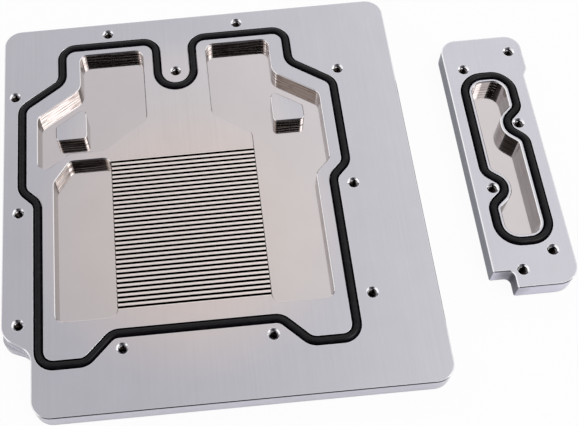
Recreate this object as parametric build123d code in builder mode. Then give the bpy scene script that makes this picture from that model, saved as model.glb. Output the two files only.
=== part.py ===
"""Water block for a graphics processor, with its cover off.

Two nickel-plated copper pieces lie side by side as they sit on the card: the
wide cold plate, whose comb of fins stands over the processor, and a narrow
block for the voltage regulators. A rubber sealing ring lies in a groove round
the water space of each.

Millimetres. +Z is up, +X along the card, +Y away from its front edge. The
origin is on the underside, below the middle of the fins, where the processor
touches the cold plate.
"""
import math
import os

from build123d import *

# Fins, left between slots sawn from one side channel to the other
slot_count = 33
slot_pitch = 1.2
slot_width = 0.55
fin_length = 35.5

# Water spaces of the cold plate, all one depth. Margins are taken from the outermost slots
pocket_depth = 3.2
pocket_bend = 2.0
lobe_bend = 3.4
channel_width = 14.2
side_jog = 3.8
pocket_jog_back = 15.0
front_margin = 2.2
throat_margin = 5.0
throat_rise = 6.9
pocket_inner = 8.3
pocket_lobe = 24.6
pocket_back = 52.15
pocket_shoulder_fall = 10.4
pocket_side_fall = 18.05

# Rib that parts the upper left water space from the one beside the fins
rib_margin = 1.35
rib_width = 2.35
rib_slope = 5.7
inlet_chamfer_x = 4.0
inlet_chamfer_y = 5.6

# Sealing ring and its groove, the same section on both pieces
ring_section = 2.0
ring_side_gap = 0.05
groove_depth = 1.5
groove_edge_break = 0.1
ring_bend = 3.5

# Land between the water spaces and the middle line of the cold plate's ring
side_land = 3.9
lobe_land = 4.65
back_land = 2.6
bay_land = 3.98

# Other bends of that ring
ring_bay_depth = 6.17
ring_foot = 25.25
ring_jog_back = 13.4
ring_shoulder_fall = 10.15
ring_side_fall = 17.45
ring_loop = 4.65

# Cold plate: how far its edges lie outside the ring's middle line
left_border = 4.7
right_border = 16.0
front_border = 12.05
back_border = 7.05
plate_thickness = 5.0
plate_corner = 4.5
edge_break = 0.2

# Step in the plate's outline at its front left corner, measured from the front edge. The ear
# above it slopes, and its lower half reaches further down the side as a ledge
step_width = 6.75
step_inner_rise = 15.45
step_inner_bend = 4.0
step_outer_rise = 19.8
step_outer_bend = 5.0
ledge_outer_rise = 18.15
ledge_outer_bend = 3.5
ledge_thickness = 2.5

# Tapped holes for the cover's screws, and how far they lie from the ring's middle line
tap_radius = 1.025
tap_mouth_radius = 1.4
tap_mouth_angle = 90
inner_screw_x = 17.0
back_screw_out = 3.55
front_screw_out = 3.67
side_screw_out = 4.65
side_screw_ys = (7.4, -21.25)
shoulder_screw_out = 1.8
shoulder_screw_fall = 13.85
middle_screw_fall = 10.05

# Bosses in the water, and the blind holes in the underside that hold the card
boss_width = 7.8
boss_gap = 5.2
boss_bend = 1.2
card_screw_x = 27.3
card_screw_fall = 21.5
card_screw_front = -26.0
card_tap_radius = 1.25
card_tap_depth = 4.0

# Narrow block: its place beside the plate and its outline
block_gap = 13.0
block_width = 19.4
block_front = -23.55
block_length = 69.7
block_thickness = 5.0
block_back_bend = 4.0
block_front_bend = 5.0
head_length = 12.5
head_reach = 1.1
head_slope = 1.9
head_bend = 1.0
notch_width = 4.8
notch_depth = 4.3
notch_bend = 1.5
notch_tip = 0.5

# Narrow block: ring and water space, measured from the block's left side, front and back
block_ring_left = 3.55
block_ring_right = 15.5
block_ring_front = 11.45
block_ring_fall = 11.75
block_ring_bend = 5.0
block_ring_knee = 3.0
wrap_distance = 2.7
wrap_outer = 4.5
wrap_inner = 1.4
block_pocket_wall = 1.75
block_pocket_depth = 4.0

# Narrow block: tapped holes; the ring goes round the two that share its line
right_screw_x = 14.8
right_screw_fall = 26.45
right_screw_front = 8.65
left_screw_x = 4.55
left_screw_fall = 9.25
left_screw_front = 25.95
back_screw_x = 17.1
back_screw_fall = 4.95
front_screw = (6.9, 4.4)

# Water spaces that follow from the fins
comb_half = (slot_count - 1) * slot_pitch / 2
slot_length = fin_length + 2 * pocket_bend
pocket_front = comb_half + front_margin
pocket_waist = fin_length / 2 + channel_width
pocket_side = pocket_waist + side_jog
pocket_shoulder = pocket_back - pocket_shoulder_fall
pocket_shoulder_drop = pocket_back - pocket_side_fall
pocket_throat_drop = comb_half + throat_margin
pocket_throat = pocket_throat_drop + throat_rise
rib_front = comb_half + rib_margin
rib_back = rib_front + rib_width

# Ring that follows from the water spaces
groove_width = ring_section + 2 * ring_side_gap
ring_level = plate_thickness - groove_depth + ring_section / 2
ring_waist = pocket_waist + side_land
ring_side = pocket_side + side_land
ring_lobe = pocket_lobe + lobe_land
ring_back = pocket_back + back_land
ring_shoulder = ring_back - ring_shoulder_fall
ring_shoulder_drop = ring_back - ring_side_fall
ring_bay = pocket_front + bay_land
ring_front = ring_bay + ring_bay_depth

# Outline and screws that follow from the ring
plate_left = ring_side + left_border
plate_right = ring_side + right_border
plate_front = ring_front + front_border
plate_back = ring_back + back_border
middle_screw_y = ring_back - middle_screw_fall
card_screw_back = pocket_back - card_screw_fall
card_screws = [
    (x, y) for x in (-card_screw_x, card_screw_x) for y in (card_screw_back, card_screw_front)
]
inner_screw_ys = (ring_back + back_screw_out, -ring_bay - front_screw_out)
cover_screws = [
    *[(side * inner_screw_x, y) for side in (-1, 1) for y in inner_screw_ys],
    *[(side * (ring_waist + side_screw_out), y) for side in (-1, 1) for y in side_screw_ys],
    (-ring_side - shoulder_screw_out, ring_back - shoulder_screw_fall),
    (ring_side + shoulder_screw_out, ring_back - shoulder_screw_fall),
    (0, middle_screw_y),
]

# Narrow block's places that follow from its length and the plate
block_left = plate_right + block_gap
head_start = block_length - head_length
block_ring_level = block_thickness - groove_depth + ring_section / 2
block_ring_back = block_length - block_ring_fall
right_screw_ys = (block_length - right_screw_fall, right_screw_front)
left_screw_ys = (block_length - left_screw_fall, left_screw_front)
block_screws = [
    *[(right_screw_x, y) for y in right_screw_ys],
    *[(left_screw_x, y) for y in left_screw_ys],
    (back_screw_x, block_length - back_screw_fall),
    front_screw,
]


def plate_outline(ear_rise, ear_bend):
    """Outer edge of the cold plate; its ear ends at ear_rise behind the front edge."""
    step_x = step_width - plate_left
    FilletPolyline(
        (step_x, -plate_front),
        (plate_right, -plate_front),
        (plate_right, plate_back),
        (-plate_left, plate_back),
        (-plate_left, ear_rise - plate_front),
        (step_x, step_inner_rise - plate_front),
        radius=[plate_corner] * 4 + [ear_bend, step_inner_bend],
        close=True,
    )


def plate_ring_route():
    """Middle line of the cold plate's ring: two mirrored halves and a loop round the middle screw."""
    bay = ring_foot - ring_bay_depth
    half = FilletPolyline(
        (ring_loop, middle_screw_y),
        (ring_loop, ring_back),
        (ring_lobe, ring_back),
        (ring_lobe, ring_shoulder),
        (ring_side, ring_shoulder_drop),
        (ring_side, ring_jog_back),
        (ring_waist, ring_jog_back - side_jog),
        (ring_waist, -ring_front),
        (ring_foot, -ring_front),
        (bay, -ring_bay),
        (0, -ring_bay),
        radius=ring_bend,
    )
    mirror(half, about=Plane.YZ)
    CenterArc((0, middle_screw_y), ring_loop, 180, 180)


def right_water_outline():
    """Upper right pocket and the channel down the right of the fins, in one."""
    FilletPolyline(
        (pocket_inner, pocket_back),
        (pocket_lobe, pocket_back),
        (pocket_lobe, pocket_shoulder),
        (pocket_side, pocket_shoulder_drop),
        (pocket_side, pocket_jog_back),
        (pocket_waist, pocket_jog_back - side_jog),
        (pocket_waist, -pocket_front),
        (fin_length / 2, -pocket_front),
        (fin_length / 2, pocket_throat_drop),
        (pocket_inner, pocket_throat),
        radius=[pocket_bend] * 2 + [lobe_bend] + [pocket_bend] * 7,
        close=True,
    )


def upper_left_water_outline():
    """Upper left pocket with its arm round the boss, closed by the rib."""
    slope = (pocket_throat - pocket_throat_drop) / (fin_length / 2 - pocket_inner)
    throat_foot = pocket_inner + (pocket_throat - rib_back) / slope
    FilletPolyline(
        (-pocket_inner, pocket_back),
        (-pocket_lobe, pocket_back),
        (-pocket_lobe, pocket_shoulder),
        (-pocket_side, pocket_shoulder_drop),
        (-pocket_side, rib_back - rib_slope),
        (-pocket_side + rib_slope / slope, rib_back),
        (-throat_foot, rib_back),
        (-pocket_inner, pocket_throat),
        radius=[pocket_bend] * 2 + [lobe_bend] + [pocket_bend] * 5,
        close=True,
    )


def left_water_outline():
    """Pocket down the left of the fins, with a cut corner where the water comes in."""
    FilletPolyline(
        (-fin_length / 2, rib_front),
        (-pocket_waist + inlet_chamfer_x, rib_front),
        (-pocket_waist, rib_front - inlet_chamfer_y),
        (-pocket_waist, -pocket_front),
        (-fin_length / 2, -pocket_front),
        radius=pocket_bend,
        close=True,
    )


def boss_outline(side):
    """Boss round a card screw on one side. Its back runs along the pocket's slanted wall."""
    slope = (pocket_shoulder - pocket_shoulder_drop) / (pocket_side - pocket_lobe)
    back = pocket_shoulder - boss_gap * math.hypot(1, slope)
    front = card_screw_back - boss_width / 2
    inner = card_screw_x - boss_width / 2
    outer = card_screw_x + boss_width / 2
    FilletPolyline(
        (side * inner, front),
        (side * outer, front),
        (side * outer, back - slope * (outer - pocket_lobe)),
        (side * inner, back - slope * (inner - pocket_lobe)),
        radius=boss_bend,
        close=True,
    )


def block_outline():
    """Outer edge of the narrow block: wider at the back, notched at the front left."""
    FilletPolyline(
        (0, notch_depth),
        (notch_width, notch_depth),
        (notch_width, 0),
        (block_width, 0),
        (block_width, head_start),
        (block_width + head_reach, head_start + head_slope),
        (block_width + head_reach, block_length),
        (0, block_length),
        radius=[
            notch_tip,
            notch_bend,
            notch_tip,
            block_front_bend,
            head_bend,
            head_bend,
            block_back_bend,
            block_back_bend,
        ],
        close=True,
    )


def block_ring_route():
    """Middle line of the narrow block's ring, bent round one screw on each side."""
    right_y = right_screw_ys[0]
    left_y = left_screw_ys[1]
    right_wrap = right_screw_x - wrap_distance
    left_wrap = left_screw_x + wrap_distance
    knees = [block_ring_knee, wrap_distance, wrap_distance, block_ring_knee]
    FilletPolyline(
        (block_ring_left, block_ring_back),
        (block_ring_right, block_ring_back),
        (block_ring_right, right_y + wrap_outer),
        (right_wrap, right_y + wrap_inner),
        (right_wrap, right_y - wrap_inner),
        (block_ring_right, right_y - wrap_outer),
        (block_ring_right, block_ring_front),
        (block_ring_left, block_ring_front),
        (block_ring_left, left_y - wrap_outer),
        (left_wrap, left_y - wrap_inner),
        (left_wrap, left_y + wrap_inner),
        (block_ring_left, left_y + wrap_outer),
        radius=[block_ring_bend] * 2 + knees + [block_ring_bend] * 2 + knees,
        close=True,
    )


def tapped_holes(points):
    """Through holes for the cover's screws, each with a small countersink."""
    with Locations(*points):
        CounterSinkHole(tap_radius, tap_mouth_radius, counter_sink_angle=tap_mouth_angle)


# Cold plate: the blank up to its ledge and above it, with its edges broken
with BuildPart() as cold_plate:
    with BuildSketch():
        with BuildLine():
            plate_outline(ledge_outer_rise, ledge_outer_bend)
        make_face()
    extrude(amount=ledge_thickness)
    with BuildSketch(Plane.XY.offset(ledge_thickness)):
        with BuildLine():
            plate_outline(step_outer_rise, step_outer_bend)
        make_face()
    extrude(amount=plate_thickness - ledge_thickness)
    levels = cold_plate.faces().filter_by(Plane.XY).sort_by(Axis.Z)
    chamfer(levels[0].edges() + levels[-1].edges(), length=edge_break)

    # Water spaces, with a boss left standing in each upper one
    with BuildSketch(Plane.XY.offset(plate_thickness)):
        for outline in (right_water_outline, upper_left_water_outline, left_water_outline):
            with BuildLine():
                outline()
            make_face()
        for side in (-1, 1):
            with BuildLine():
                boss_outline(side)
            make_face(mode=Mode.SUBTRACT)
    extrude(amount=-pocket_depth, mode=Mode.SUBTRACT)
    rims = cold_plate.edges(Select.LAST).filter_by_position(Axis.Z, plate_thickness, plate_thickness)
    chamfer(rims, length=edge_break)

    # Slots between the fins, open into the channel on each side
    with Locations((0, 0, plate_thickness)):
        with GridLocations(fin_length, slot_pitch, 1, slot_count):
            Box(
                slot_length,
                slot_width,
                pocket_depth,
                align=(Align.CENTER, Align.CENTER, Align.MAX),
                mode=Mode.SUBTRACT,
            )

    # Groove for the sealing ring
    with BuildSketch(Plane.XY.offset(plate_thickness)):
        with BuildLine():
            plate_ring_route()
        trace(line_width=groove_width)
    extrude(amount=-groove_depth, mode=Mode.SUBTRACT)
    rims = cold_plate.edges(Select.LAST).filter_by_position(Axis.Z, plate_thickness, plate_thickness)
    chamfer(rims, length=groove_edge_break)

    # Screw holes: through from above for the cover, blind from below for the card
    with Locations(Plane.XY.offset(plate_thickness)):
        tapped_holes(cover_screws)
    with Locations(Plane.XY):
        with Locations(*card_screws):
            Cylinder(
                card_tap_radius,
                card_tap_depth,
                align=(Align.CENTER, Align.CENTER, Align.MIN),
                mode=Mode.SUBTRACT,
            )

# Sealing ring of the cold plate, lying on the floor of its groove
with BuildPart() as cold_plate_ring:
    with BuildLine(Plane.XY.offset(ring_level)) as plate_ring_line:
        plate_ring_route()
    plate_ring_wire = plate_ring_line.wire()
    with BuildSketch(Plane(plate_ring_wire @ 0, z_dir=plate_ring_wire % 0)):
        Circle(ring_section / 2)
    sweep(path=plate_ring_wire)

block_plane = Plane((block_left, block_front, 0))

# Narrow block: blank, deep water space and groove
with BuildPart() as side_block:
    with BuildSketch(block_plane):
        with BuildLine():
            block_outline()
        make_face()
    extrude(amount=block_thickness)
    chamfer(side_block.faces().filter_by(Plane.XY).edges(), length=edge_break)

    with BuildSketch(block_plane.offset(block_thickness)):
        with BuildLine():
            block_ring_route()
        make_face()
        offset(amount=-block_pocket_wall)
    extrude(amount=-block_pocket_depth, mode=Mode.SUBTRACT)
    rims = side_block.edges(Select.LAST).filter_by_position(Axis.Z, block_thickness, block_thickness)
    chamfer(rims, length=edge_break)

    with BuildSketch(block_plane.offset(block_thickness)):
        with BuildLine():
            block_ring_route()
        trace(line_width=groove_width)
    extrude(amount=-groove_depth, mode=Mode.SUBTRACT)
    rims = side_block.edges(Select.LAST).filter_by_position(Axis.Z, block_thickness, block_thickness)
    chamfer(rims, length=groove_edge_break)

    with Locations(block_plane.offset(block_thickness)):
        tapped_holes(block_screws)

# Sealing ring of the narrow block
with BuildPart() as side_block_ring:
    with BuildLine(block_plane.offset(block_ring_level)) as block_ring_line:
        block_ring_route()
    block_ring_wire = block_ring_line.wire()
    with BuildSketch(Plane(block_ring_wire @ 0, z_dir=block_ring_wire % 0)):
        Circle(ring_section / 2)
    sweep(path=block_ring_wire)

cold_plate.part.label = "cold_plate"
cold_plate_ring.part.label = "cold_plate_ring"
side_block.part.label = "side_block"
side_block_ring.part.label = "side_block_ring"

os.makedirs("parts", exist_ok=True)
export_step(cold_plate.part, "parts/cold_plate.step")
export_step(cold_plate_ring.part, "parts/cold_plate_ring.step")
export_step(side_block.part, "parts/side_block.step")
export_step(side_block_ring.part, "parts/side_block_ring.step")
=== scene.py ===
"""Looks of an opened water block: nickel-plated copper, black rubber cords and cut threads.

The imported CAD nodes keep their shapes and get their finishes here. The threads in
the cover's screw holes are new meshes. Sizes are in millimetres in the dataclasses
and in metres in Blender.
"""
from __future__ import annotations

import logging
import math
from dataclasses import dataclass, field
from enum import Enum

import bmesh
import bpy
from mathutils import Matrix, Quaternion, Vector


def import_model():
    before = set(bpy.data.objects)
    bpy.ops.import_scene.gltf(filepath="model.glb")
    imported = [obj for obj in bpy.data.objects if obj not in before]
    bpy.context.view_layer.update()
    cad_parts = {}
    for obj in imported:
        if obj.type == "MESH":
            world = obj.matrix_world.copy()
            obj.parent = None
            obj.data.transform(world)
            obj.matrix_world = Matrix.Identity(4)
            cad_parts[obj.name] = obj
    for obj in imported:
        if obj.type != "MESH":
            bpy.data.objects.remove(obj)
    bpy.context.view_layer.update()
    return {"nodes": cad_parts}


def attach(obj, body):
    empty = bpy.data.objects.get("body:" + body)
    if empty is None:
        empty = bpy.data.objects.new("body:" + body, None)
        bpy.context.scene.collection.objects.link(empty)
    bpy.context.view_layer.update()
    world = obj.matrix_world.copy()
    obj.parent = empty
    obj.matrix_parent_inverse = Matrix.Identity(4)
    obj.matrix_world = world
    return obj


MM = 0.001
LOG = logging.getLogger("water_block")

Span = tuple[float, float]
Point = tuple[float, float]
Place = tuple[float, float, float]
Colour = tuple[float, float, float, float]
Tree = bpy.types.NodeTree
Node = bpy.types.Node
Socket = bpy.types.NodeSocket

MATH = "ShaderNodeMath"
VECTOR = "ShaderNodeVectorMath"
RANGE = "ShaderNodeMapRange"
MIX = "ShaderNodeMix"
BUMP = "ShaderNodeBump"
SOFT = "SMOOTHSTEP"

# Values between which most of a random pattern lies, and how much each of its
# finer layers counts beside the one before
SWING = (0.3, 0.7)
FINER_SHARE = 0.6


class Slot(Enum):
    """Names of material slots for the metal and the rubber."""

    NICKEL = "nickel_plate"
    RUBBER = "black_rubber"


def linear(hex_colour: str) -> Colour:
    """Turns an sRGB hex colour into the linear colour that a shader takes.

    Args:
        hex_colour: The colour as "#RRGGBB".

    Returns:
        Red, green, blue and an alpha of one.
    """
    shares = [int(hex_colour[i:i + 2], 16) / 255 for i in (1, 3, 5)]
    low, scale, knee, shift, power = 0.04045, 12.92, 1.055, 0.055, 2.4
    red, green, blue = (c / scale if c <= low else ((c + shift) / knee) ** power for c in shares)
    return red, green, blue, 1.0


def add(
    tree: Tree, kind: str, *values: object, put: dict | None = None, **settings: object
) -> Node:
    """Adds a node with its settings, values and links.

    Args:
        tree: The node tree that it goes into.
        kind: The node's type.
        *values: What goes into its inputs in order: a value, a socket, or a node whose
            first output is linked. None leaves an input as it is.
        put: What goes into inputs by their names.
        **settings: The node's own settings.

    Returns:
        The new node.
    """
    node = tree.nodes.new(kind)
    for name, value in settings.items():
        setattr(node, name, value)
    inputs = [socket for socket in node.inputs if socket.enabled]
    pairs = list(zip(inputs, values)) + [(node.inputs[name], v) for name, v in (put or {}).items()]
    for socket, value in pairs:
        if isinstance(value, bpy.types.Node):
            value = next(output for output in value.outputs if output.enabled)
        if isinstance(value, bpy.types.NodeSocket):
            tree.links.new(value, socket)
        elif value is not None:
            socket.default_value = value
    return node


def new_material(name: str) -> tuple[bpy.types.Material, Tree]:
    """Makes an empty material that is built from nodes.

    Args:
        name: The material's name.

    Returns:
        The material and its cleared node tree.
    """
    material = bpy.data.materials.new(name)
    material.use_nodes = True
    material.node_tree.nodes.clear()
    return material, material.node_tree


def grains(tree: Tree, spot: Socket, sizes: Place, detail: float) -> Node:
    """Random pattern whose grains have given sizes, in millimetres along X, Y and Z.

    Args:
        tree: The node tree that it goes into.
        spot: The point of the object that is being shaded.
        sizes: The grains' sizes.
        detail: How many finer layers it has.

    Returns:
        The node whose output is the pattern, from 0 to 1 and mostly near 0.5.
    """
    scale = tuple(1.0 / (size * MM) for size in sizes)
    stretched = add(tree, "ShaderNodeMapping", spot, None, None, scale)
    return add(tree, "ShaderNodeTexNoise", stretched, 1.0, detail, FINER_SHARE)


def inside_box(tree: Tree, axes: list[Socket], middle: Point, half: Point) -> Node:
    """One inside a rectangle of the plan, and zero outside it.

    Args:
        tree: The node tree that it goes into.
        axes: The point's X and Y.
        middle: The rectangle's middle in millimetres.
        half: Half its width and depth.

    Returns:
        The node whose output is the mask.
    """
    sides = []
    for i in (0, 1):
        off = add(tree, MATH, axes[i], middle[i] * MM, operation="SUBTRACT")
        size = add(tree, MATH, off, operation="ABSOLUTE")
        sides.append(add(tree, MATH, size, half[i] * MM, operation="LESS_THAN"))
    return add(tree, MATH, *sides, operation="MULTIPLY")


def by_distance(
    tree: Tree, spot: Socket, middle: Place, ends: Span, values: Span, blend: str = "LINEAR"
) -> Node:
    """Value that changes with the distance from a point.

    Args:
        tree: The node tree that it goes into.
        spot: The point of the object that is being shaded.
        middle: The point that the distance is measured from, in millimetres.
        ends: The distances between which the value changes, in millimetres.
        values: The values at those distances.
        blend: How it changes in between.

    Returns:
        The node whose output is the value.
    """
    centre = tuple(part * MM for part in middle)
    reach = add(tree, VECTOR, spot, centre, operation="DISTANCE")
    limits = [end * MM for end in ends]
    return add(tree, RANGE, reach, *limits, *values, interpolation_type=blend)


def dress(piece: bpy.types.Object, material: bpy.types.Material) -> None:
    """Gives a piece its finish.

    Args:
        piece: The CAD node's or the new piece's object.
        material: The finish that all its faces get.
    """
    if piece.material_slots:
        for holder in piece.material_slots:
            holder.material = material
    else:
        piece.data.materials.append(material)


@dataclass(frozen=True)
class Shares:
    """How far the point that is shaded belongs to each kind of place, from 0 to 1.

    Attributes:
        wall: Upright faces.
        cut: Chamfers, and all that is steeper.
        low: Below the sealing face, inside the water space.
        water: Inside the water space's box of the plan, at any height.
        inner: The lands between the pockets, away from the cord.
        fins: Inside the comb's box of the plan.
        west: Faces that look to the object's left.
        east: Faces that look to its right.
        front: Faces that look to its front.
        painted_dark_reflection: Faces that look the same way as the wall with the painted dark
            reflection.
    """

    wall: Node
    cut: Node
    low: Node
    water: Node
    inner: Node
    fins: Node
    west: Node
    east: Node
    front: Node
    painted_dark_reflection: Node


@dataclass(frozen=True)
class Marks:
    """Patterns that the cutters and the plating bath left on the metal.

    Attributes:
        lines: The fly cutter's fine lines along Y.
        streaks: Level smears that the end mill left on the walls.
        clouds: Slow changes of tone from the bath.
        grain: Fine unevenness of the plating.
        passes: One in the lines between two passes of the end mill, and zero elsewhere.
        ledges: The number of passes above the point, which rises in steps down a wall.
    """

    lines: Node
    streaks: Node
    clouds: Node
    grain: Node
    passes: Node
    ledges: Node


@dataclass(frozen=True)
class NickelPlate:
    """Bright nickel plated over milled copper.

    The sealing face is fly-cut, so it is satin with fine lines along Y. The water
    spaces are end-milled and the plating brightens them: their floors are almost
    mirrors, and their walls keep the cutter's level lines. Near the fins the plating
    is thin, and the copper below makes it warmer. Light and shade are painted into
    the colour in places: a painted highlight on the fins' tops and chamfers, and
    with wear on the edges; painted shade in the slots between the fins, on walls
    that face east, on sides that face west and round one point; and a painted dark
    reflection on the front chamfers and on one wall. A wall with a painted dark
    reflection is one that the photograph shows black, where a dark card for it to
    mirror would also darken other walls.

    A span gives the value at which a change starts and the one at which it is done.
    """

    name: str

    # Boxes of the plan that hold the water space and the fins, the height of the
    # sealing face, and the height below which the water space's own finish starts
    water_middle: Point
    water_half: Point
    fin_half: Point = (0.0, 0.0)
    top: float = 5.0
    floor_start: float = 4.6

    # Colours of the faces that look up
    face: str = "#CDCCD3"
    face_warm: str = "#E3D7D3"
    inner_face: str = "#DAD6D8"
    floor: str = "#D9D3D4"
    floor_warm: str = "#E1D8D4"
    # Lighter on the fins' tops: a painted highlight
    fin_top_painted_highlight: str = "#F5EAE5"

    # Colours of the upright faces
    # Near black in the slots between the fins, on their walls, floors and edges: painted shade
    slot_painted_shade: str = "#0D0908"
    wall: str = "#DDD6D1"
    wall_dark: str = "#766B65"
    # Darker on the walls that face east: painted shade
    east_wall_painted_shade: str = "#8B827E"
    # Near black on the wall that faces the lens: a painted dark reflection
    painted_dark_reflection: str = "#120E0D"
    side: str = "#DAD8E3"
    # Darker on the sides that face west: painted shade
    west_side_painted_shade: str = "#DAD8E3"

    # Colours of the edges and chamfers: bright, partly wear and partly a painted highlight; greyer
    # by the water space; dark on the front chamfers, a painted reflection
    rim: str = "#FAF9FB"
    pocket_rim: str = "#C2BCBE"
    # Dark on the front chamfers: a painted reflection
    front_cut_painted_reflection: str = "#68666C"

    # Roughness of each surface, and how far it varies
    face_roughness: float = 0.25
    floor_roughness: float = 0.08
    wall_roughness: float = 0.1
    cut_roughness: float = 0.12
    uneven: Span = (-0.015, 0.02)

    # Parts of a face's direction that tell what kind of face it is
    wall_lean: Span = (0.55, 0.3)
    cut_lean: Span = (0.95, 0.85)
    west_facing: Span = (-0.5, -0.8)
    east_facing: Span = (0.75, 0.95)
    front_facing: Span = (-0.52, -0.66)
    # Faces that look this way get the painted dark reflection
    painted_reflection_facing: Place = (0.0, 0.0, 1.0)
    painted_reflection_match: Span = (0.965, 0.985)

    # Distances over which the pale lands and the copper's warmth fade out
    inner_middle: Point = (0.0, 24.0)
    inner_fade: Span = (34.0, 22.0)
    warm_middle: Point = (0.0, 0.0)
    warm_fade: Span = (18.0, 42.0)
    warm_share: float = 1.0

    # Sizes of the patterns' grains along X, Y and Z
    line_size: Place = (0.45, 28.0, 8.0)
    mark_size: Place = (6.0, 6.0, 0.36)
    cloud_size: Place = (9.0, 9.0, 9.0)
    ripple_size: Place = (3.5, 3.5, 3.5)
    grain_size: Place = (0.4, 0.4, 0.4)
    sway_size: Place = (11.0, 11.0, 11.0)

    # Tones that the patterns give, as factors of the colour
    face_tones: Span = (0.985, 1.015)
    side_tones: Span = (0.95, 1.05)
    streak_span: Span = (0.5, 0.64)
    painted_reflection_span: Span = (0.35, 0.65)
    painted_reflection_shares: Span = (1.0, 0.85)

    # Passes of the end mill down a wall
    pass_depth: float = 1.07
    pass_span: Span = (0.8, 0.96)
    sway: float = 0.7

    # Depths and strengths of the relief
    line_depth: float = 0.004
    line_strength: float = 0.35
    mark_depth: float = 0.007
    mark_strength: float = 0.6
    pass_step: float = 0.02
    ripple_depth: float = 0.015
    ripple_strength: float = 0.5

    # Rounding of the edges, and how wide and how evenly they take the edges' colour: wear with a
    # painted highlight outside, painted shade along the fins
    rim_bend: float = 0.1
    rim_width: float = 0.3
    fin_rim_width: float = 0.065
    rim_samples: int = 6
    rim_span: Span = (0.998, 0.95)
    worn_span: Span = (0.2, 0.6)
    worn_shares: Span = (0.4, 0.9)

    # Painted shade round one point: the upright faces outside the water space darken towards it
    painted_shade_middle: Place = (-43.25, -31.65, 1.2)
    painted_shade_reach: float = 4.6
    painted_shade_factor: float = 0.9

    def material(self) -> bpy.types.Material:
        """Builds the finish.

        Returns:
            The material for the metal piece.
        """
        material, tree = new_material(self.name)
        place = add(tree, "ShaderNodeTexCoord").outputs
        spot = place["Object"]
        shares = self._shares(tree, spot, place["Normal"])
        marks = self._marks(tree, spot)
        bare = add(tree, MATH, 1.0, shares.low, operation="SUBTRACT")
        put = {
            "Base Color": self._colour(tree, spot, shares, marks, bare),
            "Metallic": 1.0,
            "Roughness": self._roughness(tree, shares, marks),
            "Normal": self._relief(tree, spot, shares, marks, bare),
        }
        add(tree, "ShaderNodeOutputMaterial", add(tree, "ShaderNodeBsdfPrincipled", put=put))
        return material

    def _shares(self, tree: Tree, spot: Socket, normal: Socket) -> Shares:
        """Tells the kinds of place apart by where they are and where they look.

        Args:
            tree: The material's nodes.
            spot: The point of the object that is being shaded.
            normal: The direction that its face looks in.

        Returns:
            The point's shares.
        """
        axes = list(add(tree, "ShaderNodeSeparateXYZ", spot).outputs)
        facing = add(tree, "ShaderNodeSeparateXYZ", normal).outputs
        upright = add(tree, MATH, facing[2], operation="ABSOLUTE")
        match = add(tree, VECTOR, normal, self.painted_reflection_facing, operation="DOT_PRODUCT")
        water = inside_box(tree, axes, self.water_middle, self.water_half)
        deep = add(tree, MATH, axes[2], self.floor_start * MM, operation="LESS_THAN")
        inner = (*self.inner_middle, self.top)
        return Shares(
            wall=add(tree, RANGE, upright, *self.wall_lean, interpolation_type=SOFT),
            cut=add(tree, RANGE, upright, *self.cut_lean),
            low=add(tree, MATH, deep, water, operation="MULTIPLY"),
            water=water,
            inner=by_distance(tree, spot, inner, self.inner_fade, (0.0, 1.0), SOFT),
            fins=inside_box(tree, axes, (0.0, 0.0), self.fin_half),
            west=add(tree, RANGE, facing[0], *self.west_facing),
            east=add(tree, RANGE, facing[0], *self.east_facing),
            front=add(tree, RANGE, facing[1], *self.front_facing),
            painted_dark_reflection=add(tree, RANGE, match, *self.painted_reflection_match, interpolation_type=SOFT),
        )

    def _marks(self, tree: Tree, spot: Socket) -> Marks:
        """Makes the patterns. The end mill went down in passes, a little wavy and uneven.

        Args:
            tree: The material's nodes.
            spot: The point of the object that is being shaded.

        Returns:
            The patterns at that point.
        """
        height = add(tree, "ShaderNodeSeparateXYZ", spot).outputs[2]
        sway = grains(tree, spot, self.sway_size, 1.0)
        starts = (self.top * MM, (self.top + self.sway) * MM)
        start = add(tree, RANGE, sway, *SWING, *starts)
        depth = add(tree, MATH, start, height, operation="SUBTRACT")
        steps = add(tree, MATH, depth, self.pass_depth * MM, operation="DIVIDE")
        share = add(tree, MATH, steps, operation="FRACT")
        passes = add(tree, RANGE, share, *self.pass_span, interpolation_type=SOFT)
        whole = add(tree, MATH, steps, operation="FLOOR")
        return Marks(
            lines=grains(tree, spot, self.line_size, 3.0),
            streaks=grains(tree, spot, self.mark_size, 3.0),
            clouds=grains(tree, spot, self.cloud_size, 2.0),
            grain=grains(tree, spot, self.grain_size, 3.0),
            passes=passes,
            ledges=add(tree, MATH, whole, passes, operation="ADD"),
        )

    def _colour(self, tree: Tree, spot: Socket, shares: Shares, marks: Marks, bare: Node) -> Node:
        """Colours the metal.

        Args:
            tree: The material's nodes.
            spot: The point of the object that is being shaded.
            shares: The kinds of place that it belongs to.
            marks: The patterns there.
            bare: Zero inside the depth of the water space, and one outside it.

        Returns:
            The node whose output is the colour.
        """
        flat = self._flat_colour(tree, spot, shares, marks)
        walls = self._wall_colour(tree, spot, shares, marks)
        colour = add(tree, MIX, shares.wall, flat, walls, data_type="RGBA")
        widths = (self.rim_width * MM, self.fin_rim_width * MM)
        width = add(tree, MIX, shares.fins, *widths, data_type="FLOAT")
        edge_share = self._edge_share(tree, self._eased(tree, bare, width), shares, marks.grain)
        return add(tree, MIX, edge_share, colour, self._rim_colour(tree, shares), data_type="RGBA")

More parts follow.
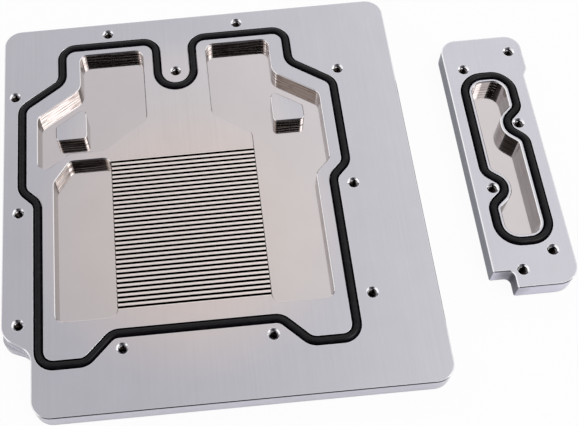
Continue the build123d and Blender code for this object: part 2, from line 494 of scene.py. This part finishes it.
    def _flat_colour(self, tree: Tree, spot: Socket, shares: Shares, marks: Marks) -> Node:
        """Colours the faces that look up: sealing face, fins' tops with a painted highlight,
        floors with painted shade in the slots, and chamfers with a painted highlight, dark at the
        front as a painted reflection.

        Args:
            tree: The material's nodes.
            spot: The point of the object that is being shaded.
            shares: The kinds of place that it belongs to.
            marks: The patterns there.

        Returns:
            The node whose output is the colour.
        """
        middle = (*self.warm_middle, self.top)
        warm = by_distance(tree, spot, middle, self.warm_fade, (self.warm_share, 0.0), SOFT)
        lands = (linear(self.face), linear(self.inner_face))
        face = add(tree, MIX, shares.inner, *lands, data_type="RGBA")
        face = add(tree, MIX, warm, face, linear(self.face_warm), data_type="RGBA")
        # Painted highlight on the fins' tops
        face = add(tree, MIX, shares.fins, face, linear(self.fin_top_painted_highlight), data_type="RGBA")
        lined = add(tree, RANGE, marks.lines, *SWING, *self.face_tones)
        face = add(tree, VECTOR, face, put={"Scale": lined}, operation="SCALE")
        floors = (linear(self.floor), linear(self.floor_warm))
        floor = add(tree, MIX, warm, *floors, data_type="RGBA")
        # Painted shade on the slots' floors
        floor = add(tree, MIX, shares.fins, floor, linear(self.slot_painted_shade), data_type="RGBA")
        flat = add(tree, MIX, shares.low, face, floor, data_type="RGBA")
        clouded = add(tree, RANGE, marks.clouds, *SWING, *self.face_tones)
        flat = add(tree, VECTOR, flat, put={"Scale": clouded}, operation="SCALE")
        # Chamfers: a painted highlight, and at the front a painted dark reflection
        cuts = (linear(self.rim), linear(self.front_cut_painted_reflection))
        cut = add(tree, MIX, shares.front, *cuts, data_type="RGBA")
        return add(tree, MIX, shares.cut, flat, cut, data_type="RGBA")

    def _wall_colour(self, tree: Tree, spot: Socket, shares: Shares, marks: Marks) -> Node:
        """Colours the upright faces: streaked in the water space, with painted shade in the slots,
        on walls that face east, on sides that face west and round one point, and a painted dark
        reflection on one wall.

        Args:
            tree: The material's nodes.
            spot: The point of the object that is being shaded.
            shares: The kinds of place that it belongs to.
            marks: The patterns there.

        Returns:
            The node whose output is the colour.
        """
        streaks = add(tree, RANGE, marks.streaks, *self.streak_span, interpolation_type=SOFT)
        dark = add(tree, MATH, streaks, marks.passes, operation="MAXIMUM")
        walls = (linear(self.wall), linear(self.wall_dark))
        inner = add(tree, MIX, dark, *walls, data_type="RGBA")
        # Painted shade on the walls that face east
        inner = add(tree, MIX, shares.east, inner, linear(self.east_wall_painted_shade), data_type="RGBA")
        # Painted dark reflection on the wall that faces the lens, patchy with the streaks
        painted_dark_reflection = add(tree, RANGE, marks.streaks, *self.painted_reflection_span, *self.painted_reflection_shares)
        painted_dark_reflection = add(tree, MATH, painted_dark_reflection, shares.painted_dark_reflection, operation="MULTIPLY")
        inner = add(tree, MIX, painted_dark_reflection, inner, linear(self.painted_dark_reflection), data_type="RGBA")
        # Painted shade on the slots' walls
        inner = add(tree, MIX, shares.fins, inner, linear(self.slot_painted_shade), data_type="RGBA")

        sides = (linear(self.side), linear(self.west_side_painted_shade))
        # Painted shade on the sides that face west
        outer = add(tree, MIX, shares.west, *sides, data_type="RGBA")
        drawn = add(tree, RANGE, marks.streaks, *SWING, *self.side_tones)
        # Painted shade round one point
        ends, shades = (0.0, self.painted_shade_reach), (self.painted_shade_factor, 1.0)
        stained = by_distance(tree, spot, self.painted_shade_middle, ends, shades)
        drawn = add(tree, MATH, drawn, stained, operation="MULTIPLY")
        outer = add(tree, VECTOR, outer, put={"Scale": drawn}, operation="SCALE")
        return add(tree, MIX, shares.water, outer, inner, data_type="RGBA")

    def _eased(self, tree: Tree, bare: Node, radius: float | Node) -> Node:
        """Normal with the edges of the bare faces rounded to a radius in metres."""
        reach = add(tree, MATH, bare, radius, operation="MULTIPLY")
        return add(tree, "ShaderNodeBevel", reach, samples=self.rim_samples)

    def _edge_share(self, tree: Tree, rounded: Node, shares: Shares, grain: Node) -> Node:
        """Finds the edges that take the edges' colour: in places outside, where it is wear with a
        painted highlight, and whole along the fins, where it is painted shade.

        Args:
            tree: The material's nodes.
            rounded: The normal with its edges rounded as wide as they take the edges' colour.
            shares: The kinds of place that the point belongs to.
            grain: The pattern that makes the rubbing patchy.

        Returns:
            The node whose output is how far the edge's own colour shows.
        """
        straight = add(tree, "ShaderNodeNewGeometry").outputs["Normal"]
        bend = add(tree, VECTOR, rounded, straight, operation="DOT_PRODUCT")
        edge = add(tree, RANGE, bend, *self.rim_span, interpolation_type=SOFT)
        patchy = add(tree, RANGE, grain, *self.worn_span, *self.worn_shares)
        patchy = add(tree, MATH, patchy, shares.fins, operation="MAXIMUM")
        edge_share = add(tree, MATH, edge, patchy, operation="MULTIPLY")
        pocket_wall = add(tree, MATH, shares.water, shares.wall, operation="MULTIPLY")
        spared = add(tree, MATH, 1.0, pocket_wall, operation="SUBTRACT")
        return add(tree, MATH, edge_share, spared, operation="MULTIPLY")

    def _rim_colour(self, tree: Tree, shares: Shares) -> Node:
        """Colours the edges: bright outside, partly wear and partly a painted highlight, greyer by
        the water space, painted shade along the fins, and a painted dark reflection on the front
        chamfers.

        Args:
            tree: The material's nodes.
            shares: The kinds of place that the point belongs to.

        Returns:
            The node whose output is the colour.
        """
        rims = (linear(self.rim), linear(self.pocket_rim))
        rim = add(tree, MIX, shares.water, *rims, data_type="RGBA")
        # Painted shade along the fins' edges
        rim = add(tree, MIX, shares.fins, rim, linear(self.slot_painted_shade), data_type="RGBA")
        # Painted dark reflection on the front chamfers
        front = add(tree, MATH, shares.front, shares.cut, operation="MULTIPLY")
        return add(tree, MIX, front, rim, linear(self.front_cut_painted_reflection), data_type="RGBA")

    def _roughness(self, tree: Tree, shares: Shares, marks: Marks) -> Node:
        """Sets how blurred the metal mirrors: satin on the face, and sharp in the water space.

        Args:
            tree: The material's nodes.
            shares: The kinds of place that the point belongs to.
            marks: The patterns there.

        Returns:
            The node whose output is the roughness.
        """
        ends = (self.face_roughness, self.floor_roughness)
        rough = add(tree, MIX, shares.low, *ends, data_type="FLOAT")
        rough = add(tree, MIX, shares.cut, rough, self.cut_roughness, data_type="FLOAT")
        rough = add(tree, MIX, shares.wall, rough, self.wall_roughness, data_type="FLOAT")
        uneven = add(tree, RANGE, marks.grain, *SWING, *self.uneven)
        return add(tree, MATH, rough, uneven, operation="ADD")

    def _relief(self, tree: Tree, spot: Socket, shares: Shares, marks: Marks, bare: Node) -> Node:
        """Bends the normal by the face's lines, the walls' marks and the floors' slow ripples.

        Args:
            tree: The material's nodes.
            spot: The point of the object that is being shaded.
            shares: The kinds of place that it belongs to.
            marks: The patterns there.
            bare: Zero inside the depth of the water space, and one outside it.

        Returns:
            The node whose output is the normal.
        """
        rounded = self._eased(tree, bare, self.rim_bend * MM)
        other = add(tree, MATH, shares.wall, shares.low, operation="MAXIMUM")
        face = add(tree, MATH, 1.0, other, operation="SUBTRACT")
        fly_cut = add(tree, MATH, marks.lines, face, operation="MULTIPLY")
        lines = (self.line_strength, self.line_depth * MM)
        normal = add(tree, BUMP, *lines, None, fly_cut, rounded)
        milled = add(tree, MATH, marks.streaks, shares.wall, operation="MULTIPLY")
        milling = (self.mark_strength, self.mark_depth * MM)
        normal = add(tree, BUMP, *milling, None, milled, normal)
        stepped = add(tree, MATH, marks.ledges, shares.wall, operation="MULTIPLY")
        normal = add(tree, BUMP, 1.0, self.pass_step * MM, None, stepped, normal)
        ripple = grains(tree, spot, self.ripple_size, 1.0)
        floor = add(tree, MATH, ripple, shares.low, operation="MULTIPLY")
        ripples = (self.ripple_strength, self.ripple_depth * MM)
        return add(tree, BUMP, *ripples, None, floor, normal)


@dataclass(frozen=True)
class TappedBore:
    """Nickel on a cut thread: bright flanks near the mouth, and painted shade further down, where
    the bore is deep.
    """

    name: str = "tapped_bore_nickel"
    # Painted shade deep in the bore
    bare: str = "#211C1B"
    stained: str = "#A8A19E"
    bright: str = "#E6E4E7"
    roughness: Span = (0.05, 0.14)
    painted_shade_heights: Span = (3.8, 4.6)
    stain_size: Place = (0.8, 0.8, 0.5)
    stain_span: Span = (0.35, 0.65)
    relief_depth: float = 0.004
    relief_strength: float = 0.4

    def material(self) -> bpy.types.Material:
        """Builds the finish.

        Returns:
            The material for the threads.
        """
        material, tree = new_material(self.name)
        spot = add(tree, "ShaderNodeTexCoord").outputs["Object"]
        height = add(tree, "ShaderNodeSeparateXYZ", spot).outputs[2]
        stain = grains(tree, spot, self.stain_size, 3.0)
        share = add(tree, RANGE, stain, *self.stain_span)
        flanks = (linear(self.stained), linear(self.bright))
        colour = add(tree, MIX, share, *flanks, data_type="RGBA")
        ends = [end * MM for end in self.painted_shade_heights]
        # Painted shade: the thread darkens below these heights
        plated = add(tree, RANGE, height, *ends, interpolation_type=SOFT)
        colour = add(tree, MIX, plated, linear(self.bare), colour, data_type="RGBA")
        rough = add(tree, RANGE, stain, *SWING, *self.roughness)
        normal = add(tree, BUMP, self.relief_strength, self.relief_depth * MM, None, stain)
        put = {"Base Color": colour, "Metallic": 1.0, "Roughness": rough, "Normal": normal}
        add(tree, "ShaderNodeOutputMaterial", add(tree, "ShaderNodeBsdfPrincipled", put=put))
        return material


@dataclass(frozen=True)
class NitrileCord:
    """Extruded nitrile rubber cord: deep black, with a fine skin and a little dust.

    The cover has pressed its crown smooth, and its flanks are dull. Its roughness
    goes from the flanks to the crown.
    """

    name: str = "nitrile_cord"
    black: str = "#0A080C"
    dusty: str = "#19171D"
    roughness: Span = (0.5, 0.2)
    uneven: Span = (-0.06, 0.08)
    ior: float = 1.5
    shine: float = 0.23
    crown_lean: Span = (0.68, 0.97)
    skin_size: Place = (0.5, 0.5, 0.5)
    skin_depth: float = 0.012
    skin_strength: float = 0.4
    dust_size: Place = (1.6, 1.6, 1.6)
    dust_span: Span = (0.52, 0.72)

    def material(self) -> bpy.types.Material:
        """Builds the finish.

        Returns:
            The material for the cords.
        """
        material, tree = new_material(self.name)
        place = add(tree, "ShaderNodeTexCoord").outputs
        spot = place["Object"]
        upward = add(tree, "ShaderNodeSeparateXYZ", place["Normal"]).outputs[2]
        crown = add(tree, RANGE, upward, *self.crown_lean, interpolation_type=SOFT)
        skin = grains(tree, spot, self.skin_size, 4.0)
        dust = add(tree, RANGE, grains(tree, spot, self.dust_size, 3.0), *self.dust_span)
        colour = add(tree, MIX, dust, linear(self.black), linear(self.dusty), data_type="RGBA")
        uneven = add(tree, RANGE, skin, *SWING, *self.uneven)
        rough = add(tree, MIX, crown, *self.roughness, data_type="FLOAT")
        put = {
            "Base Color": colour,
            "Roughness": add(tree, MATH, rough, uneven, operation="ADD"),
            "IOR": self.ior,
            "Specular IOR Level": add(tree, MATH, crown, self.shine, operation="MULTIPLY"),
            "Normal": add(tree, BUMP, self.skin_strength, self.skin_depth * MM, None, skin),
        }
        add(tree, "ShaderNodeOutputMaterial", add(tree, "ShaderNodeBsdfPrincipled", put=put))
        return material


@dataclass(frozen=True)
class StudioPaper:
    """White seamless paper: it glows white to the camera and keeps a faint shadow.

    It glows less in the metal's mirrors. No light reaches it below the metal, so it
    doesn't glow there.
    """

    name: str = "studio_paper"
    paper: str = "#F4F4F5"
    glow: str = "#FFFFFF"
    seen_share: float = 0.94
    mirrored_share: float = 0.2

    # Middle and half size of each box of the plan below the metal
    shaded: tuple[tuple[Point, Point], ...] = (
        ((9.0, 9.1), (44.6, 50.6)),
        ((5.65, 19.2), (48.0, 41.7)),
        ((78.5, 13.4), (8.6, 32.4)),
    )

    def material(self) -> bpy.types.Material:
        """Builds the paper.

        Returns:
            The material for the floor.
        """
        material, tree = new_material(self.name)
        spot = add(tree, "ShaderNodeTexCoord").outputs["Object"]
        axes = list(add(tree, "ShaderNodeSeparateXYZ", spot).outputs)
        boxes = [inside_box(tree, axes, middle, half) for middle, half in self.shaded]
        covered = boxes[0]
        for box in boxes[1:]:
            covered = add(tree, MATH, covered, box, operation="MAXIMUM")
        lit = add(tree, MATH, 1.0, covered, operation="SUBTRACT")
        path = add(tree, "ShaderNodeLightPath").outputs
        seen = add(tree, MATH, path["Is Camera Ray"], self.seen_share, operation="MULTIPLY")
        mirrored = add(
            tree, MATH, path["Is Glossy Ray"], path["Is Transmission Ray"], operation="MAXIMUM"
        )
        both = add(tree, MATH, mirrored, self.mirrored_share, seen, operation="MULTIPLY_ADD")
        share = add(tree, MATH, both, lit, operation="MULTIPLY")
        matt = add(tree, "ShaderNodeBsdfDiffuse", linear(self.paper))
        glow = add(tree, "ShaderNodeEmission", linear(self.glow), 1.0)
        add(tree, "ShaderNodeOutputMaterial", add(tree, "ShaderNodeMixShader", share, matt, glow))
        return material


@dataclass(frozen=True)
class SkyCard:
    """Soft round patch of the studio's surroundings. Its angles are in degrees."""

    direction: Place
    core_angle: float
    edge_angle: float
    colour: str
    share: float = 1.0


@dataclass(frozen=True)
class Softbox:
    """Round studio lamp: where it hangs, how wide it is and how bright its face is.

    Its power is its radiance over the area of its face, times pi.
    """

    name: str
    direction: Place
    distance: float
    width: float
    radiance: float

    def build(self) -> None:
        """Hangs the lamp, facing the object."""
        light = bpy.data.lights.new(self.name, "AREA")
        light.shape = "DISK"
        light.size = self.width * MM
        light.energy = self.radiance * math.pi * math.pi * (light.size / 2) ** 2
        lamp = bpy.data.objects.new(self.name, light)
        towards = Vector(self.direction).normalized()
        lamp.rotation_mode = "QUATERNION"
        lamp.location = towards * self.distance * MM
        lamp.rotation_quaternion = towards.to_track_quat("Z", "Y")
        bpy.context.scene.collection.objects.link(lamp)


@dataclass
class Studio:
    """Photographer's table: white paper, pale walls, two soft lamps and dark cards.

    Walls that face the camera mirror the black cards round the lens, so they are dark.
    """

    floor_size: float = 4000.0
    floor_height: float = -0.02

    # Colours of the walls, and of the ceiling to the west and to the east
    horizon: str = "#FFFFFF"
    west: str = "#E1E0E2"
    east: str = "#FBFBFB"

    # Parts of a direction between which west turns to east, and wall to ceiling
    across: Span = (-0.12, 0.32)
    rise: Span = (0.42, 0.66)

    # The ceiling darkens overhead, over a height that leans to the west
    lean: float = 0.35
    overhead_lean: Span = (0.78, 0.96)
    overhead_light: Span = (1.04, 0.91)

    cards: tuple[SkyCard, ...] = (
        SkyCard((-0.47, -0.33, 0.82), 6.0, 15.0, "#B0A49B", 0.85),
        SkyCard((-0.42, 0.43, 0.80), 5.0, 15.0, "#6E6863", 0.15),
        SkyCard((0.57, 0.17, 0.80), 5.0, 13.0, "#8F8C89", 0.7),
        SkyCard((0.02, -0.906, 0.423), 12.0, 20.0, "#77757A", 0.85),
        SkyCard((-0.045, -0.551, 0.834), 14.0, 17.0, "#0E0A09"),
        SkyCard((-0.29, -0.51, 0.80), 9.5, 12.5, "#120D0C"),
    )
    lamps: tuple[Softbox, ...] = (
        Softbox("key_softbox", (0.515, -0.19, 0.83), 750.0, 370.0, 1.75),
        Softbox("west_softbox", (-0.6, -0.03, 0.8), 750.0, 130.0, 1.6),
    )

    def build(self) -> None:
        """Makes the floor, the surroundings and the lamps."""
        self._floor()
        self._surroundings()
        for lamp in self.lamps:
            lamp.build()
            LOG.info("%s hung", lamp.name)

    def _floor(self) -> None:
        """Lays the paper just below the object."""
        mesh = bpy.data.meshes.new("floor")
        shape = bmesh.new()
        place = Matrix.Translation((0.0, 0.0, self.floor_height * MM))
        half = self.floor_size / 2 * MM
        bmesh.ops.create_grid(shape, x_segments=1, y_segments=1, size=half, matrix=place)
        shape.to_mesh(mesh)
        shape.free()
        floor = bpy.data.objects.new("floor", mesh)
        bpy.context.scene.collection.objects.link(floor)
        mesh.materials.append(StudioPaper().material())
        LOG.info("%s laid", floor.name)

    def _surroundings(self) -> None:
        """Paints the pale room: white walls and a ceiling that is a little darker to the west."""
        world = bpy.data.worlds.new("studio")
        world.use_nodes = True
        tree = world.node_tree
        tree.nodes.clear()
        direction = add(tree, "ShaderNodeTexCoord").outputs["Generated"]
        axes = add(tree, "ShaderNodeSeparateXYZ", direction).outputs
        east = add(tree, RANGE, axes[0], *self.across, interpolation_type=SOFT)
        ceiling = add(tree, MIX, east, linear(self.west), linear(self.east), data_type="RGBA")
        lean = add(tree, MATH, axes[0], -self.lean, axes[2], operation="MULTIPLY_ADD")
        overhead = add(tree, RANGE, lean, *self.overhead_lean, *self.overhead_light)
        ceiling = add(tree, VECTOR, ceiling, put={"Scale": overhead}, operation="SCALE")
        high = add(tree, RANGE, axes[2], *self.rise, interpolation_type=SOFT)
        colour = add(tree, MIX, high, linear(self.horizon), ceiling, data_type="RGBA")
        for card in self.cards:
            towards = Vector(card.direction).normalized()
            near = add(tree, VECTOR, direction, towards, operation="DOT_PRODUCT")
            ends = [math.cos(math.radians(angle)) for angle in (card.edge_angle, card.core_angle)]
            cover = add(tree, RANGE, near, *ends, 0.0, card.share, interpolation_type=SOFT)
            colour = add(tree, MIX, cover, colour, linear(card.colour), data_type="RGBA")
        add(tree, "ShaderNodeOutputWorld", add(tree, "ShaderNodeBackground", colour, 1.0))
        bpy.context.scene.world = world


@dataclass
class PhotoCamera:
    """Camera at the photograph's place. Its eye, aim and lens are in millimetres."""

    eye: Place = (4.40, -102.99, 211.36)
    aim: Place = (6.73, 2.60, 5.0)
    roll: float = -4.193
    lens: float = 60.55
    sensor: float = 36.0
    shift: float = 0.1266
    clip: Span = (10.0, 20000.0)

    def build(self) -> None:
        """Makes the camera and hands it to the scene."""
        data = bpy.data.cameras.new("camera")
        data.lens = self.lens
        data.sensor_width = self.sensor
        data.shift_x = self.shift
        data.clip_start, data.clip_end = (distance * MM for distance in self.clip)
        camera = bpy.data.objects.new("camera", data)
        eye, aim = Vector(self.eye) * MM, Vector(self.aim) * MM
        turn = (aim - eye).to_track_quat("-Z", "Y")
        camera.rotation_mode = "QUATERNION"
        camera.location = eye
        camera.rotation_quaternion = turn @ Quaternion((0.0, 0.0, 1.0), math.radians(self.roll))
        bpy.context.scene.collection.objects.link(camera)
        bpy.context.scene.camera = camera


@dataclass
class CutThread:
    """M2.5 thread in the screw holes of one metal piece, drawn as a ridge inside the bore.

    Attributes:
        name: The new piece's name.
        holes: The bores' middles in the plan.
        pitch: The ridge's rise in one turn.
        crest: The radius of the ridge's edge.
        root: The radius of its foot, just behind the bore's wall.
        base: Its height at the foot.
        bottom: The height at which its lower edge starts.
        top: The height at which its lower edge ends.
        steps: The number of straight pieces in one turn.
    """

    name: str
    holes: tuple[Point, ...]
    pitch: float = 0.45
    crest: float = 0.85
    root: float = 1.07
    base: float = 0.254
    bottom: float = 0.3
    top: float = 4.1
    steps: int = 22

    def build(self, finish: bpy.types.Material) -> bpy.types.Object:
        """Makes one mesh that holds the thread of every hole.

        Args:
            finish: The thread's finish.

        Returns:
            The new piece, riding on the root body.
        """
        shape = bmesh.new()
        for x, y in self.holes:
            self._ridge(shape, x, y)
        bmesh.ops.recalc_face_normals(shape, faces=shape.faces)
        mesh = bpy.data.meshes.new(self.name)
        shape.to_mesh(mesh)
        shape.free()
        piece = bpy.data.objects.new(self.name, mesh)
        bpy.context.scene.collection.objects.link(piece)
        dress(piece, finish)
        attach(piece, "root")
        return piece

    def _ridge(self, shape: bmesh.types.BMesh, x: float, y: float) -> None:
        """Spins the thread's triangle up one bore.

        Args:
            shape: The mesh that the ridge is added to.
            x: The bore's place along X.
            y: The bore's place along Y.
        """
        corners = (
            (self.root, self.bottom),
            (self.crest, self.bottom + self.base / 2),
            (self.root, self.bottom + self.base),
        )
        section = [shape.verts.new(((x + r) * MM, y * MM, z * MM)) for r, z in corners]
        face = shape.faces.new(section)
        turns = (self.top - self.bottom) / self.pitch
        steps = round(turns * self.steps)
        bmesh.ops.spin(
            shape,
            geom=[face, *face.edges, *face.verts],
            cent=(x * MM, y * MM, 0.0),
            axis=(0.0, 0.0, 1.0),
            dvec=(0.0, 0.0, self.pitch * MM / self.steps),
            angle=math.tau * steps / self.steps,
            steps=steps,
        )


@dataclass
class ColdPlate:
    """Wide finned plate with its cord. Its screw holes stand in pairs, left and right.

    The pairs are the two inner ones at the back and front, the two at the sides and
    the one on the shoulders. One more hole stands on the middle line.
    """

    inner_x: float = 17.0
    back_y: float = 58.3
    front_y: float = -29.05
    side_x: float = 40.5
    side_ys: Point = (7.4, -21.25)
    shoulder: Point = (41.45, 40.9)
    middle_y: float = 44.7
    finish: NickelPlate = field(
        default_factory=lambda: NickelPlate(
            name="plate_bright_nickel",
            water_middle=(0.0, 15.4),
            water_half=(36.5, 37.5),
            fin_half=(17.75, 19.7),
        )
    )

    def holes(self) -> tuple[Point, ...]:
        """Places the cover's screw holes.

        Returns:
            The holes' middles in the plan.
        """
        right = [(self.inner_x, self.back_y), (self.inner_x, self.front_y)]
        right += [(self.side_x, y) for y in self.side_ys]
        right.append(self.shoulder)
        both = [(side * x, y) for x, y in right for side in (-1, 1)]
        return (*both, (0.0, self.middle_y))

    def build(
        self,
        nodes: dict[str, bpy.types.Object],
        rubber: bpy.types.Material,
        bore: bpy.types.Material,
    ) -> None:
        """Dresses the plate and its cord, and cuts the threads.

        Args:
            nodes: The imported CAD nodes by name.
            rubber: The cord's finish.
            bore: The threads' finish.
        """
        nickel = self.finish.material()
        dress(nodes["cold_plate"], nickel)
        LOG.info("cold_plate dressed in %s", nickel.name)
        dress(nodes["cold_plate_ring"], rubber)
        LOG.info("cold_plate_ring dressed in %s", rubber.name)
        threads = CutThread("cold_plate_threads", self.holes()).build(bore)
        LOG.info("%s built with %d faces", threads.name, len(threads.data.polygons))


@dataclass
class SideBlock:
    """Narrow regulator block with its cord.

    Its screw holes are placed from its front left corner.
    """

    corner: Point = (68.65, -23.55)
    right_x: float = 14.8
    right_ys: Point = (43.25, 8.65)
    left_x: float = 4.55
    left_ys: Point = (60.45, 25.95)
    back_hole: Point = (17.1, 64.75)
    front_hole: Point = (6.9, 4.4)
    finish: NickelPlate = field(
        default_factory=lambda: NickelPlate(
            name="block_bright_nickel",
            water_middle=(78.2, 11.1),
            water_half=(5.2, 22.4),
            warm_share=0.0,
            face="#CFCED6",
            inner_face="#CFCED6",
            floor="#D1CACB",
            wall="#D2CFCC",
            wall_dark="#BBB6B2",
            side="#E5E3F0",
            # Painted shade on the block's west side
            west_side_painted_shade="#888A95",
            pocket_rim="#F2F0F2",
            pass_step=0.014,
            mark_depth=0.004,
            # Painted dark reflection on the wall that faces this way
            painted_reflection_facing=(-0.73, -0.683, 0.0),
            # Painted shade in the notch by the front left corner
            painted_shade_middle=(73.45, -20.6, 3.2),
            painted_shade_factor=0.15,
        )
    )

    def holes(self) -> tuple[Point, ...]:
        """Places the cover's screw holes.

        Returns:
            The holes' middles in the plan.
        """
        local = [(self.right_x, y) for y in self.right_ys]
        local += [(self.left_x, y) for y in self.left_ys]
        local += [self.back_hole, self.front_hole]
        return tuple((self.corner[0] + x, self.corner[1] + y) for x, y in local)

    def build(
        self,
        nodes: dict[str, bpy.types.Object],
        rubber: bpy.types.Material,
        bore: bpy.types.Material,
    ) -> None:
        """Dresses the block and its cord, and cuts the threads.

        Args:
            nodes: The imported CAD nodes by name.
            rubber: The cord's finish.
            bore: The threads' finish.
        """
        nickel = self.finish.material()
        dress(nodes["side_block"], nickel)
        LOG.info("side_block dressed in %s", nickel.name)
        dress(nodes["side_block_ring"], rubber)
        LOG.info("side_block_ring dressed in %s", rubber.name)
        threads = CutThread("side_block_threads", self.holes()).build(bore)
        LOG.info("%s built with %d faces", threads.name, len(threads.data.polygons))


def main() -> None:
    """Loads the frame, dresses the pieces and sets up the studio."""
    logging.basicConfig(level=logging.INFO, format="%(name)s: %(message)s")
    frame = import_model()
    bpy.context.scene.view_settings.view_transform = "Standard"

    rubber = NitrileCord().material()
    bore = TappedBore().material()
    ColdPlate().build(frame["nodes"], rubber, bore)
    SideBlock().build(frame["nodes"], rubber, bore)
    Studio().build()
    PhotoCamera().build()


if __name__ == "__main__":
    main()
